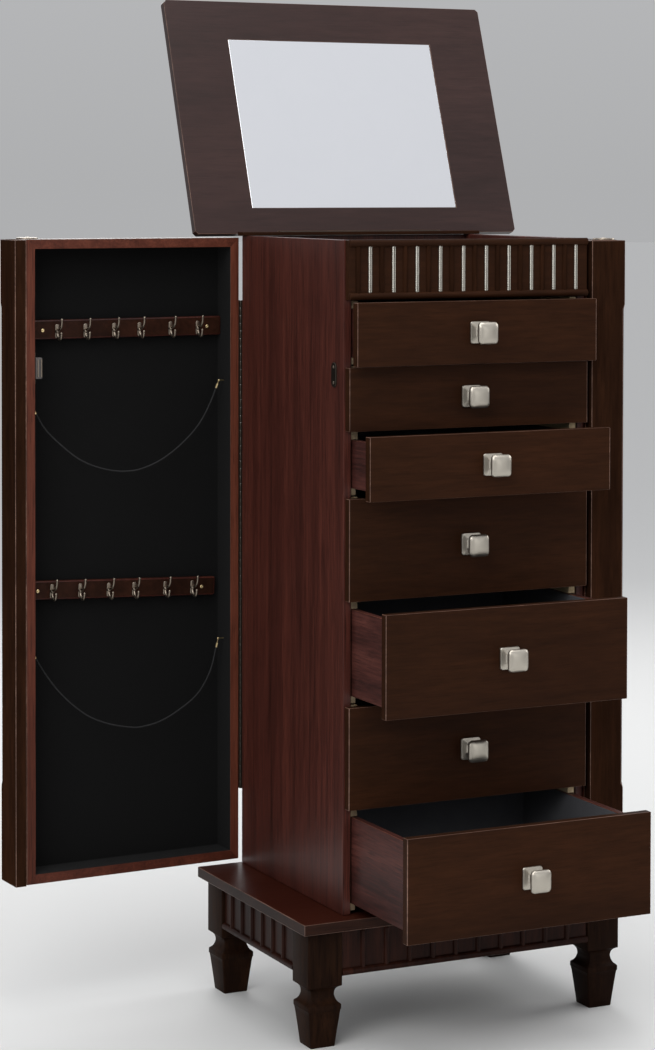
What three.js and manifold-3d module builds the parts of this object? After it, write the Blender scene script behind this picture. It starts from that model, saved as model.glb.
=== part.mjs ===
import * as THREE from 'three';
import { mergeVertices } from 'three/addons/utils/BufferGeometryUtils.js';
import { ConvexGeometry } from 'three/addons/geometries/ConvexGeometry.js';
import Module from 'manifold-3d';

const wasm = await Module();
wasm.setup();

// Driving dimensions in millimetres. x = 0 is the carcass's left face, y = 0 its front, z = 0 the slab's top.
const CASE_W = 339;
const CASE_D = 300;
const CASE_H = 824.5;
const SIDE_T = 10;
const GAP = 0.3;
const MID = CASE_W / 2;

const SLAB = [-61.7, 400.7, -21.4, 303.3, -13.3, 0];
const LEG_BOTTOM = -158;
const LEG_HALF = 23;
const APRON_BOTTOM = -70;
const REED_R = 3.25;
const BEAD_R = 4;

const FRONT_X0 = 2;
const FRONT_X1 = 337;
const FRONT_FACE = -12;
// Each drawer: bottom and top of its front, and how far it is pulled out at rest.
const DRAWERS = [
  [671.7, 749.4, 21.3],
  [592.0, 669.7, 0],
  [512.3, 590.0, 55],
  [385.1, 510.3, 0],
  [257.9, 383.1, 97.6],
  [130.7, 255.9, 0],
  [3.5, 128.7, 153.4],
];
const BOX_X0 = 12.5;
const BOX_X1 = 326.5;
const BOX_BACK = 274;
const BOX_WALL = 8;

const LID_PIN = [302.0, 828.6];
const LID_OPEN = 109.5;
const LID_X0 = -65;
const LID_X1 = 412;
const LID_D = 329;
const LID_T = 13.7;
const KNUCKLE_R = 1.6;

const DOOR_PIN_Y = 301.8;
const DOOR_PIN_X = 1.5;
const LEFT_OPEN = 87.2;
const DOOR_Z0 = 5;
const DOOR_Z1 = 822;
const DOOR_T = 45;
const FRAME_T = 12;
const RECESS = 38;
const PILASTER_T = 48.6;

// Cord centre lines in a door: distance from the hinge edge, depth, height.
const CORD_R = 0.9;
const CORD_UPPER = [
  [23.7, 20, 624.1], [32, 20, 605], [49.3, 20, 576.8], [78, 20, 549.8], [106.5, 20, 532.1],
  [134.8, 20, 522.6], [148.8, 20, 521.3], [162.9, 20, 521.7], [190.7, 20, 527.5],
  [218.4, 20, 539.6], [245.9, 20, 560.7], [266, 20, 580.5], [278.3, 20, 600],
];
const CORD_LOWER = [
  [23.2, 20, 282.6], [31.8, 20, 252.5], [49.2, 20, 225], [78, 20, 204.5], [106.5, 20, 191.9],
  [134.9, 20, 187.4], [149, 20, 188.9], [177.1, 20, 195.6], [204.9, 20, 207.6],
  [232.6, 20, 228.7], [252, 20, 249], [266.8, 20, 268.8], [279, 20, 288.3],
];

function material(name, color, metalness, roughness) {
  const m = new THREE.MeshStandardMaterial({ color, metalness, roughness });
  m.name = name;
  return m;
}

const ESPRESSO = () => material('espresso_wood', 0x2e1c17, 0, 0.35);
const MAHOGANY = () => material('mahogany_veneer', 0x55261c, 0, 0.4);
const RAW_WOOD = () => material('raw_wood', 0xd8c09a, 0, 0.7);
const FELT = () => material('felt_lined_board', 0x17161a, 0, 0.95);
const MIRROR = () => material('mirror_glass', 0xc9d2d6, 0.9, 0.05);
const NICKEL = () => material('brushed_nickel', 0xa9a59c, 1, 0.35);
const DARK_METAL = () => material('dark_hinge_steel', 0x4a4745, 1, 0.4);
const ELASTIC = () => material('elastic_cord', 0x3a3a3f, 0, 0.8);
const BRASS = () => material('brass', 0xc2a25a, 1, 0.35);

// Keeps positions only, welds equal points and drops empty triangles.
function weld(geometry) {
  const g = geometry.clone();
  for (const key of Object.keys(g.attributes)) if (key !== 'position') g.deleteAttribute(key);
  const m = mergeVertices(g, 1e-4);
  const idx = m.index.array;
  const keep = [];
  for (let i = 0; i < idx.length; i += 3) {
    const [a, b, c] = [idx[i], idx[i + 1], idx[i + 2]];
    if (a !== b && b !== c && a !== c) keep.push(a, b, c);
  }
  m.setIndex(keep);
  return m;
}

function toManifold(geometry) {
  const g = weld(geometry);
  return new wasm.Manifold(new wasm.Mesh({
    numProp: 3,
    vertProperties: new Float32Array(g.attributes.position.array),
    triVerts: new Uint32Array(g.index.array),
  }));
}

function fromManifold(man) {
  const out = man.getMesh();
  const g = new THREE.BufferGeometry();
  g.setAttribute('position', new THREE.BufferAttribute(new Float32Array(out.vertProperties), 3));
  g.setIndex(Array.from(out.triVerts));
  return g;
}

function join(list) {
  return fromManifold(list.map(toManifold).reduce((a, b) => a.add(b)));
}

function cut(base, cutters) {
  return fromManifold(cutters.map(toManifold).reduce((a, b) => a.subtract(b), toManifold(base)));
}

function box(x0, x1, y0, y1, z0, z1) {
  const g = new THREE.BoxGeometry(x1 - x0, y1 - y0, z1 - z0);
  return g.translate((x0 + x1) / 2, (y0 + y1) / 2, (z0 + z1) / 2);
}

function rod(r, a, b, sides = 10) {
  const from = new THREE.Vector3(...a);
  const to = new THREE.Vector3(...b);
  const dir = to.clone().sub(from);
  const g = new THREE.CylinderGeometry(r, r, dir.length(), sides);
  const q = new THREE.Quaternion().setFromUnitVectors(new THREE.Vector3(0, 1, 0), dir.clone().normalize());
  g.applyQuaternion(q);
  const mid = from.add(to).multiplyScalar(0.5);
  return g.translate(mid.x, mid.y, mid.z);
}

function tube(points, r, steps, sides) {
  const curve = new THREE.CatmullRomCurve3(points.map((p) => new THREE.Vector3(...p)), false, 'centripetal');
  const ring = [];
  for (let i = 0; i < sides; i++) {
    const a = (i / sides) * Math.PI * 2;
    ring.push(new THREE.Vector2(Math.cos(a) * r, Math.sin(a) * r));
  }
  return new THREE.ExtrudeGeometry(new THREE.Shape(ring), { steps, extrudePath: curve, bevelEnabled: false });
}

function hull(points) {
  return new ConvexGeometry(points.map((p) => new THREE.Vector3(...p)));
}

function piece(name, geometry, mat, parent) {
  const w = weld(geometry);
  const flat = w.toNonIndexed();
  flat.computeVertexNormals();
  const mesh = new THREE.Mesh(flat, mat);
  mesh.name = name;
  parent.add(mesh);
  return mesh;
}

// A square-section turned leg, as half-widths down its height.
function legShape(cx, cy) {
  const profile = [
    [0, LEG_BOTTOM], [16.2, LEG_BOTTOM], [21.6, -112], [22.3, -111], [22.3, -106], [21.5, -105],
    [19.6, -103.6], [17.6, -101], [16, -97.5], [15.6, -93.5], [16.2, -89], [18.2, -85.5],
    [21.5, -83.2], [LEG_HALF, -82.7], [LEG_HALF, SLAB[4] - GAP], [0, SLAB[4] - GAP],
  ];
  const pts = profile.map(([h, z]) => new THREE.Vector2(h * Math.SQRT2, z));
  const g = new THREE.LatheGeometry(pts, 4, Math.PI / 4);
  return g.rotateX(Math.PI / 2).translate(cx, cy, 0);
}

function baseParts(group) {
  piece('base_slab', box(...SLAB), ESPRESSO(), group);
  const legL = -27.2;
  const legR = CASE_W - legL;
  const z1 = SLAB[4] - GAP;
  const front = [legShape(legL, 15), legShape(legR, 15), box(-4.7, 343.7, -5, 9, APRON_BOTTOM, z1),
    rod(BEAD_R, [-4.7, -5, -66], [343.7, -5, -66])];
  for (let k = 0; k < 10; k++) {
    const x = MID + (k - 4.5) * 32.1;
    front.push(rod(REED_R, [x, -5, -65], [x, -5, -16]));
  }
  piece('front_frame', join(front), ESPRESSO(), group);
  const back = [legShape(legL, 274), legShape(legR, 274), box(-4.7, 343.7, 280, 294, APRON_BOTTOM, z1),
    rod(BEAD_R, [-4.7, 294 - 1.2, -66], [343.7, 294 - 1.2, -66])];
  piece('back_frame', join(back), ESPRESSO(), group);
  for (const side of [-1, 1]) {
    const at = (x) => (side < 0 ? x : CASE_W - x);
    const face = at(-46);
    const inner = at(-32);
    const parts = [box(Math.min(face, inner), Math.max(face, inner), 38.3, 250.7, APRON_BOTTOM, z1),
      rod(BEAD_R, [face, 38.3, -66], [face, 250.7, -66])];
    for (let k = 0; k < 6; k++) {
      const y = 71.5 + 31 * k;
      parts.push(rod(REED_R, [face, y, -65], [face, y, -16]));
    }
    piece(side < 0 ? 'apron_left' : 'apron_right', join(parts), ESPRESSO(), group);
  }
}

function carcassParts(group) {
  piece('side_panel_left', box(0, SIDE_T, 0, CASE_D, GAP, CASE_H), MAHOGANY(), group);
  piece('side_panel_right', box(CASE_W - SIDE_T, CASE_W, 0, CASE_D, GAP, CASE_H), MAHOGANY(), group);
  const inX0 = SIDE_T + GAP;
  const inX1 = CASE_W - SIDE_T - GAP;
  piece('back_panel', box(inX0, inX1, 294, CASE_D, GAP, CASE_H - GAP), MAHOGANY(), group);
  const reeds = [box(FRONT_X0, FRONT_X1, -10, -GAP, 751.5, 825)];
  reeds.push(rod(4.5, [1.8, -10.5, 820.6], [336.8, -10.5, 820.6], 12));
  reeds.push(rod(4.5, [1.8, -10.5, 756.2], [336.8, -10.5, 756.2], 12));
  for (let k = 0; k < 20; k++) {
    const x = MID - 2.5 + (k - 9.5) * 16.1;
    reeds.push(rod(REED_R, [x, -10, 757], [x, -10, 819]));
  }
  piece('frieze', join(reeds), ESPRESSO(), group);
  piece('tray', box(inX0, inX1, GAP, 293.7, 753, 758), FELT(), group);
  const rail = cut(box(-6.5, 345.5, 284, 299.7, 824.8, 829.3), [box(33, 300, 286, 301, 828.2, 830)]);
  piece('rear_rail', rail, ESPRESSO(), group);
  for (const side of [-1, 1]) {
    const place = (x0, x1, y0, y1, z0, z1) => (side < 0
      ? box(x0, x1, y0, y1, z0, z1) : box(CASE_W - x1, CASE_W - x0, y0, y1, z0, z1));
    const parts = [place(10.3, 11.3, 2, 293, 1, 752)];
    for (const [z0, z1] of DRAWERS) {
      parts.push(place(11, 17.5, 2, 270, z0 + 1.5, z0 + 9.5));
      parts.push(place(11, 20, 2, 270, z1 - 8.2, z1 + 0.8));
    }
    piece(side < 0 ? 'left_runners' : 'right_runners', join(parts), RAW_WOOD(), group);
  }
}

// Knuckles along a pin. axis 'x' or 'z'; the fixed leaf carries the pin, the moving one has the bores.
function hingeLeaf(leaf, axis, from, to, count, moving, radius) {
  const pt = (t) => (axis === 'x' ? [t, 0, 0] : [0, 0, t]);
  const pitch = (to - from) / count;
  const parts = [leaf];
  for (let i = moving ? 1 : 0; i < count; i += 2) {
    parts.push(rod(radius, pt(from + i * pitch + 0.3), pt(from + (i + 1) * pitch - 0.3), 8));
  }
  const notches = [];
  for (let i = moving ? 0 : 1; i < count; i += 2) {
    const a = from + i * pitch - 0.05;
    const b = from + (i + 1) * pitch + 0.05;
    const r = radius + 0.4;
    notches.push(axis === 'x' ? box(a, b, -r, r, -r, r) : box(-r, r, -r, r, a, b));
  }
  let g = cut(join(parts), notches);
  if (moving) return cut(g, [rod(0.95, pt(from - 5), pt(to + 5), 6)]);
  return join([g, rod(0.5, pt(from + 1), pt(to - 1), 6)]);
}

function hinges(group) {
  const lidLeaf = box(54.4, 293.3, -13, 0.2, -0.1, 0.7);
  const fixed = hingeLeaf(lidLeaf, 'x', 54.4, 293.3, 10, false, KNUCKLE_R);
  piece('lid_hinge_fixed_leaf', fixed, DARK_METAL(), group).position.set(0, ...LID_PIN);
  for (const side of [-1, 1]) {
    const x0 = side < 0 ? 0 : -11;
    const leaf = hingeLeaf(box(x0, x0 + 11, -1.5, -0.8, 98, 740), 'z', 98, 740, 20, false, 1.5);
    const name = side < 0 ? 'left_hinge_fixed_leaf' : 'right_hinge_fixed_leaf';
    piece(name, leaf, DARK_METAL(), group)
      .position.set(side < 0 ? -DOOR_PIN_X : CASE_W + DOOR_PIN_X, DOOR_PIN_Y, 0);
    const plate = side < 0 ? box(-1.8, -GAP, 16.7, 33.5, 643.9, 674.9)
      : box(CASE_W + GAP, CASE_W + 1.8, 16.7, 33.5, 643.9, 674.9);
    piece(side < 0 ? 'strike_plate_left' : 'strike_plate_right', plate, NICKEL(), group);
  }
}

function lidParts(group) {
  const y1 = 1.3;
  const y0 = y1 - LID_D;
  const corner = 4;
  const plan = (inset, z) => {
    const [a, b, c, d] = [LID_X0 + inset, LID_X1 - inset, y0 + inset, y1 - inset];
    return [[a + corner, c, z], [b - corner, c, z], [b, c + corner, z], [b, d - corner, z],
      [b - corner, d, z], [a + corner, d, z], [a, d - corner, z], [a, c + corner, z]];
  };
  const slab = hull([...plan(0, 1), ...plan(0, 1 + LID_T - 3), ...plan(3, 1 + LID_T)]);
  const mirrorBox = [21, 326, y1 - 274.2, y1 - 35.2];
  const panel = cut(slab, [box(...mirrorBox, 0, 3.4),
    box(53.4, 294.3, 0.2, 3, 0, 13.5), box(53.4, 294.3, -2.1, 3, 0, 2.1)]);
  piece('lid_panel', panel, ESPRESSO(), group);
  const m = [mirrorBox[0] + GAP, mirrorBox[1] - GAP, mirrorBox[2] + GAP, mirrorBox[3] - GAP];
  piece('lid_mirror', box(...m, 1.3, 3.1), MIRROR(), group);
  const leaf = hingeLeaf(box(54.4, 293.3, 0.5, 1.2, 0.5, 13), 'x', 54.4, 293.3, 10, true, KNUCKLE_R);
  piece('lid_hinge_moving_leaf', leaf, DARK_METAL(), group);
}

function knobShape(z) {
  const profile = [[0, 0.3], [12.6, 0.3], [12.7, 2], [11.6, 3.1], [6.4, 4.2], [5.2, 6], [5.2, 13.5],
    [6.4, 16.2], [11.4, 18.6], [12.7, 20], [12.8, 22.2], [11.9, 24], [8, 26.2], [0, 27.2]];
  const pts = profile.map(([h, y]) => new THREE.Vector2(h * Math.SQRT2, y));
  const g = new THREE.LatheGeometry(pts, 4, Math.PI / 4);
  return g.rotateX(Math.PI).translate(MID, FRONT_FACE, z);
}

function drawerParts(group, index) {
  const [z0, z1, ext] = DRAWERS[index];
  const n = index + 1;
  const g = new THREE.Group();
  g.name = `drawer_${n}`;
  g.position.y = -ext;
  piece(`drawer_${n}_front`, box(FRONT_X0, FRONT_X1, FRONT_FACE, -0.5, z0, z1), ESPRESSO(), g);
  const shell = cut(box(BOX_X0, BOX_X1, -0.2, BOX_BACK, z0 + 10, z1 - 9),
    [box(BOX_X0 + BOX_WALL, BOX_X1 - BOX_WALL, 7.8, BOX_BACK - BOX_WALL, z0 + 14, z1)]);
  piece(`drawer_${n}_box`, shell, MAHOGANY(), g);
  piece(`drawer_${n}_knob`, knobShape((z0 + z1) / 2), NICKEL(), g);
  group.add(g);
}

// side is -1 for the left door, +1 for the right. u runs forward from the hinge edge, v outward.
function doorTools(side) {
  const p = (u, v, z) => [side * (v + 1.5), -(u + 1.8), z];
  const block = (u0, u1, v0, v1, z0, z1) => {
    const [xa, ya] = p(u0, v0, 0);
    const [xb, yb] = p(u1, v1, 0);
    return box(Math.min(xa, xb), Math.max(xa, xb), Math.min(ya, yb), Math.max(ya, yb), z0, z1);
  };
  return { p, block };
}

function pilasterShape({ p, block }) {
  const body = block(300.3, 314.8, 0, PILASTER_T, 3.5, 821.5);
  const c = 3.2;
  const edge = hull([p(314.9, PILASTER_T + 0.1, 124), p(314.9, PILASTER_T + 0.1, 741),
    p(314.9 - c, PILASTER_T + 0.1, 131), p(314.9, PILASTER_T + 0.1 - c, 131),
    p(314.9 - c, PILASTER_T + 0.1, 734), p(314.9, PILASTER_T + 0.1 - c, 734)]);
  return cut(body, [edge]);
}

// One hook rail with six double hooks; the lower one is tilted by a few degrees.
function railShape({ p, block }, u0, u1, z0, z1, hookU, hookZ, tilt) {
  const parts = [block(u0, u1, 28, 37.7, z0, z1)];
  for (const u of hookU) {
    parts.push(block(u - 3, u + 3, 26.8, 28.5, hookZ - 9, hookZ + 9));
    parts.push(tube([p(u, 27.5, hookZ + 3), p(u, 19, hookZ + 3.5), p(u, 12.5, hookZ + 7),
      p(u, 11, hookZ + 15)], 1.4, 5, 6));
    parts.push(tube([p(u, 27.5, hookZ - 5), p(u, 22, hookZ - 8), p(u, 18.5, hookZ - 6),
      p(u, 18, hookZ - 2)], 1.3, 5, 6));
  }
  const g = join(parts);
  if (!tilt) return g;
  const [cx, cy] = p((u0 + u1) / 2, 0, 0);
  const cz = (z0 + z1) / 2;
  return g.translate(-cx, -cy, -cz).rotateX(tilt).translate(cx, cy, cz);
}

// A screw eye in the frame, with the cord's crimp below it.
function cordEnd({ p }, wallU, eye, first, next) {
  const a = new THREE.Vector3(...p(...first));
  const dir = a.clone().sub(new THREE.Vector3(...p(...next))).normalize();
  const start = a.clone().addScaledVector(dir, GAP);
  const stop = start.clone().addScaledVector(dir, 6);
  const e = new THREE.Vector3(...p(...eye));
  const parts = [rod(1.6, start.toArray(), stop.toArray(), 8), rod(0.8, stop.clone()
    .addScaledVector(dir, -1).toArray(), e.toArray(), 6)];
  parts.push(rod(0.9, p(wallU, eye[1], eye[2]), e.toArray(), 6));
  parts.push(new THREE.SphereGeometry(1.7, 8, 6).translate(e.x, e.y, e.z));
  return join(parts);
}

function doorParts(group, side) {
  const t = doorTools(side);
  const n = side < 0 ? 'left' : 'right';
  piece(`${n}_pilaster`, pilasterShape(t), ESPRESSO(), group);
  const shell = cut(t.block(0, 300, 0, DOOR_T, DOOR_Z0, DOOR_Z1),
    [t.block(FRAME_T, 300 - FRAME_T, -5, RECESS, DOOR_Z0 + FRAME_T, DOOR_Z1 - FRAME_T)]);
  piece(`${n}_door_box`, shell, MAHOGANY(), group);
  const ups = [245.7, 206.3, 166.2, 130.1, 85.6, 46.3];
  piece(`${n}_hook_rail_upper`, railShape(t, 12.5, 284, 694, 718.7, ups, 704, 0), MAHOGANY(), group);
  const downs = ups.map((u) => u + 7.7);
  const lower = railShape(t, 21, 287, 356.8, 380.8, downs, 367.5, THREE.MathUtils.degToRad(-2.4));
  piece(`${n}_hook_rail_lower`, lower, MAHOGANY(), group);
  const catchBody = join([t.block(286.5, 287.7, 2, 15, 639.3, 679.3),
    t.block(277.5, 286.8, -0.9, 13, 645.7, 672.7)]);
  piece(`${n}_catch`, catchBody, DARK_METAL(), group);
  const x0 = side < 0 ? -20 : 0;
  const leaf = hingeLeaf(box(x0, x0 + 20, -1.5, -0.8, 98, 740), 'z', 98, 740, 20, true, 1.5);
  piece(`${n}_hinge_moving_leaf`, leaf, DARK_METAL(), group);
}

function cordParts(group) {
  const t = doorTools(-1);
  const rows = [['upper', CORD_UPPER, [19.2, 20, 634.6], [284.2, 20, 611.5]],
    ['lower', CORD_LOWER, [20.2, 20, 294.4], [284.4, 20, 297.8]]];
  for (const [n, pts, hingeEye, freeEye] of rows) {
    piece(`left_cord_${n}`, tube(pts.map((q) => t.p(...q)), CORD_R, 60, 8), ELASTIC(), group);
    const k = pts.length;
    piece(`cord_${n}_hinge_end`, cordEnd(t, 12.3, hingeEye, pts[0], pts[1]), BRASS(), group);
    piece(`cord_${n}_free_end`, cordEnd(t, 287.7, freeEye, pts[k - 1], pts[k - 2]), BRASS(), group);
  }
}

function turning(name, x, y, z) {
  const g = new THREE.Group();
  g.name = name;
  g.position.set(x, y, z);
  return g;
}

const chest = new THREE.Group();
chest.name = 'chest';
baseParts(chest);
carcassParts(chest);
hinges(chest);
for (let i = 0; i < DRAWERS.length; i++) drawerParts(chest, i);

const lid = turning('lid', 0, ...LID_PIN);
lidParts(lid);
lid.rotation.x = THREE.MathUtils.degToRad(-LID_OPEN);
chest.add(lid);

const leftDoor = turning('left_door', -DOOR_PIN_X, DOOR_PIN_Y, 0);
doorParts(leftDoor, -1);
cordParts(leftDoor);
leftDoor.rotation.z = THREE.MathUtils.degToRad(-LEFT_OPEN);
chest.add(leftDoor);

const rightDoor = turning('right_door', CASE_W + DOOR_PIN_X, DOOR_PIN_Y, 0);
doorParts(rightDoor, 1);
chest.add(rightDoor);

// The origin sits at the bottom centre of the whole object's box.
chest.updateMatrixWorld(true);
const bounds = new THREE.Box3().setFromObject(chest, true);
chest.position.set(-(bounds.min.x + bounds.max.x) / 2, -(bounds.min.y + bounds.max.y) / 2, -bounds.min.z);

const group = new THREE.Group();
group.name = 'jewellery_chest';
group.add(chest);

export default group;
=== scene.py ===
import bpy, bmesh, math
from mathutils import Vector, Matrix


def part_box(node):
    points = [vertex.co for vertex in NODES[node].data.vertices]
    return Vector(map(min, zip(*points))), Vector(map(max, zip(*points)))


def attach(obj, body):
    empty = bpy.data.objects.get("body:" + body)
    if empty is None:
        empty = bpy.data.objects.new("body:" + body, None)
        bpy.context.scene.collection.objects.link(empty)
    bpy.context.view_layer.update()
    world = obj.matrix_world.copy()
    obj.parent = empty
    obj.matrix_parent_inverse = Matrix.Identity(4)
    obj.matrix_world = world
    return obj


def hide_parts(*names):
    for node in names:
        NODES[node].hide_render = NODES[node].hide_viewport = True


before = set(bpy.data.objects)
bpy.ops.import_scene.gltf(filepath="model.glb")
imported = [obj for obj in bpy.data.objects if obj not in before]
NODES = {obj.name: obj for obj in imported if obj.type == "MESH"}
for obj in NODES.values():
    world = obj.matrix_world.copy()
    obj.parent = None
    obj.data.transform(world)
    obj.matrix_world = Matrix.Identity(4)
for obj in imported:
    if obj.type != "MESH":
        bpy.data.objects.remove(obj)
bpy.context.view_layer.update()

MM = 0.001

# The carcass frame: x = 0 its left face, y = 0 its front, z = 0 the slab's top, in millimetres.
# The slab overhangs the carcass by the first two of these and is as thick as the third.
SLAB_OVERHANG = (61.7, 21.4, 13.3)
ORIGIN = Vector(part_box("base_slab")[0]) + Vector(SLAB_OVERHANG) * MM
MID_X = 169.5
FRONT_FACE = -12.0                          # a shut drawer's front face
DOOR_PIN_X = {"left": -1.5, "right": 340.5}
DOOR_PIN_Y = 301.8
LID_PIN = (302.0, 828.6)                    # y, z
LEFT_OPEN = math.radians(87.2)
LID_OPEN = math.radians(109.5)


def at(x, y, z):
    return ORIGIN + Vector((x, y, z)) * MM


# ---------------------------------------------------------------- camera
YAW, PITCH, ROLL = 0.45328, -0.028435, 0.0015047
EYE = (-1505.9, -3046.1, 893.9)
cam_data = bpy.data.cameras.new("camera")
cam_data.lens = 96.2
cam_data.sensor_width = 36
cam_data.sensor_fit = "AUTO"
cam_data.shift_x = 0.0
cam_data.shift_y = -0.25
cam_data.clip_end = 50
cam = bpy.data.objects.new("camera", cam_data)
bpy.context.scene.collection.objects.link(cam)
fwd = Vector((math.sin(YAW) * math.cos(PITCH), math.cos(YAW) * math.cos(PITCH), math.sin(PITCH)))
right = Vector((math.cos(YAW), -math.sin(YAW), 0))
up = right.cross(fwd)
right, up = right * math.cos(ROLL) + up * math.sin(ROLL), up * math.cos(ROLL) - right * math.sin(ROLL)
cam.matrix_world = Matrix.Translation(at(*EYE)) @ Matrix((
    (right.x, up.x, -fwd.x), (right.y, up.y, -fwd.y), (right.z, up.z, -fwd.z))).to_4x4()
bpy.context.scene.camera = cam


# ---------------------------------------------------------------- doors' own coordinates
DOOR_ANGLE = {"left": -LEFT_OPEN, "right": 0.0}


def door_point(side, u, v, z):
    """u runs forward from the hinge edge, v outward from the inner face, in millimetres."""
    s = -1 if side == "left" else 1
    x, y = s * (v + 1.5), -(u + 1.8)
    a = DOOR_ANGLE[side]
    return at(DOOR_PIN_X[side] + x * math.cos(a) - y * math.sin(a),
              DOOR_PIN_Y + x * math.sin(a) + y * math.cos(a), z)


# ---------------------------------------------------------------- material helpers
class Net:
    """A short way to build a node material."""

    def __init__(self, name):
        self.mat = bpy.data.materials.new(name)
        self.mat.use_nodes = True
        self.nt = self.mat.node_tree
        self.bsdf = self.nt.nodes["Principled BSDF"]

    def add(self, kind, props=None, **inputs):
        n = self.nt.nodes.new(kind)
        for k, v in (props or {}).items():
            setattr(n, k, v)
        for k, v in inputs.items():
            # an input is given by its name, or as _0, _1 by its place
            self.put(n.inputs[int(k[1:])] if k.startswith("_") else n.inputs[k], v)
        return n

    def put(self, socket, v):
        if isinstance(v, bpy.types.NodeSocket):
            self.nt.links.new(v, socket)
        else:
            socket.default_value = v

    def set(self, name, v):
        self.put(self.bsdf.inputs[name], v)

    def coords(self, scale=(1, 1, 1)):
        m = self.add("ShaderNodeMapping", Vector=self.position(), Scale=scale)
        return m.outputs["Vector"]

    def noise(self, vec, scale, detail=4.0, rough=0.55, distortion=0.0):
        n = self.add("ShaderNodeTexNoise", Vector=vec, Scale=scale, Detail=detail, Roughness=rough,
                     Distortion=distortion)
        return n.outputs["Fac"]

    def ramp(self, fac, stops):
        r = self.add("ShaderNodeValToRGB", Fac=fac)
        els = r.color_ramp.elements
        while len(els) < len(stops):
            els.new(0.5)
        for e, (pos, col) in zip(els, stops):
            e.position = pos
            e.color = (*col, 1) if len(col) == 3 else col
        return r.outputs["Color"]

    def mix(self, fac, a, b, blend="MIX"):
        m = self.nt.nodes.new("ShaderNodeMix")
        m.data_type = "RGBA"
        m.blend_type = blend
        self.put(m.inputs[0], fac)
        self.put(m.inputs[6], a if isinstance(a, bpy.types.NodeSocket) else (*a, 1))
        self.put(m.inputs[7], b if isinstance(b, bpy.types.NodeSocket) else (*b, 1))
        return m.outputs[2]

    def maths(self, op, a, b=0.0):
        m = self.add("ShaderNodeMath", {"operation": op})
        self.put(m.inputs[0], a)
        self.put(m.inputs[1], b)
        return m.outputs[0]

    def bump(self, height, strength, distance):
        b = self.add("ShaderNodeBump", Height=height, Strength=strength, Distance=distance)
        self.set("Normal", b.outputs["Normal"])

    def axes(self, vec):
        """The X, Y and Z outputs of a vector."""
        n = self.add("ShaderNodeSeparateXYZ")
        self.put(n.inputs[0], vec)
        return n.outputs

    def position(self):
        return self.add("ShaderNodeTexCoord").outputs["Object"]

    def normal(self):
        return self.add("ShaderNodeNewGeometry").outputs["Normal"]


def srgb(r, g, b):
    def lin(c):
        c /= 255
        return c / 12.92 if c <= 0.04045 else ((c + 0.055) / 1.055) ** 2.4
    return (lin(r), lin(g), lin(b))


def wood(name, dark, mid, light, along, rough, coat, pore=0.5, seed=0.0, spec=0.28, grain=0.45,
         stretch=0.12, scale=1.0, over=None):
    """Lacquered wood: broad figure, fine fibres along one axis and short open pores. over recolours parts of it."""
    m = Net(name)
    v = m.coords(tuple(scale * (stretch if a == along else 1) for a in "xyz"))
    off = m.add("ShaderNodeVectorMath", {"operation": "ADD"}, _0=v)
    off.inputs[1].default_value = (seed, seed * 0.37, seed * 0.71)
    v = off.outputs[0]
    figure = m.noise(v, 14, 3, 0.5, 0.6)
    fibre = m.noise(v, 160, 5, 0.65, 0.15)
    cloud = m.noise(m.coords(), 5, 2)
    fac = m.maths("ADD", m.maths("MULTIPLY", figure, 1 - grain), m.maths("MULTIPLY", fibre, grain))
    col = m.ramp(fac, [(0.34, dark), (0.5, mid), (0.68, light)])
    col = m.mix(m.maths("MULTIPLY", cloud, 0.35), col, dark)
    fine = {"x": (0.03, 1, 1), "y": (1, 0.03, 1), "z": (1, 1, 0.03)}[along]
    pores = m.noise(m.coords(fine), 900, 2, 0.5)
    mask = m.ramp(pores, [(0.36, (1, 1, 1)), (0.44, (0, 0, 0))])
    col = m.mix(m.maths("MULTIPLY", mask, pore), col, tuple(c * 0.45 for c in dark))
    if over is not None:
        col = over(m, col)
    m.set("Base Color", col)
    m.set("Roughness", m.maths("ADD", m.maths("MULTIPLY", fibre, 0.16), rough - 0.08))
    m.set("Coat Weight", coat)
    m.set("Coat Roughness", 0.22)
    m.set("Specular IOR Level", spec)
    h = m.maths("SUBTRACT", m.maths("MULTIPLY", fibre, 0.5), m.maths("MULTIPLY", mask, 0.6))
    m.bump(h, 0.12, 0.0004)
    return m.mat


def felt(name, color, tint, sheen=0.12):
    m = Net(name)
    v = m.coords()
    fuzz = m.noise(v, 1500, 6, 0.75)
    blot = m.noise(v, 30, 3)
    col = m.mix(m.maths("MULTIPLY", fuzz, 0.7), color, tint)
    col = m.mix(m.maths("MULTIPLY", blot, 0.4), col, tuple(c * 0.6 for c in color))
    m.set("Base Color", col)
    m.set("Roughness", 0.95)
    m.set("Sheen Weight", sheen)
    m.set("Sheen Roughness", 0.5)
    m.set("Specular IOR Level", 0.15)
    m.bump(fuzz, 0.6, 0.0008)
    return m.mat


def metal(name, color, rough, along, streak, dirt):
    m = Net(name)
    stretch = {"x": (0.04, 1, 1), "y": (1, 0.04, 1), "z": (1, 1, 0.04), None: (1, 1, 1)}[along]
    v = m.coords(stretch)
    lines = m.noise(v, 1800, 3, 0.6)
    cloud = m.noise(m.coords(), 60, 4)
    col = m.mix(m.maths("MULTIPLY", cloud, dirt), color, tuple(c * 0.55 for c in color))
    m.set("Base Color", col)
    m.set("Metallic", 1.0)
    m.set("Roughness", m.maths("ADD", m.maths("MULTIPLY", lines, 0.2 * streak), rough))
    m.bump(lines, 0.1 * streak, 0.0003)
    return m.mat


def painted_side_reflection_on_top(m, col):
    """The slab's upward faces are painted redder: a painted reflection of the mahogany sides in its glossy top."""
    upward = m.ramp(m.axes(m.normal())["Z"], [(0.6, (0, 0, 0)), (0.9, (1, 1, 1))])
    return m.mix(upward, col, m.mix(0.45, col, srgb(66, 24, 15)))


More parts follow.
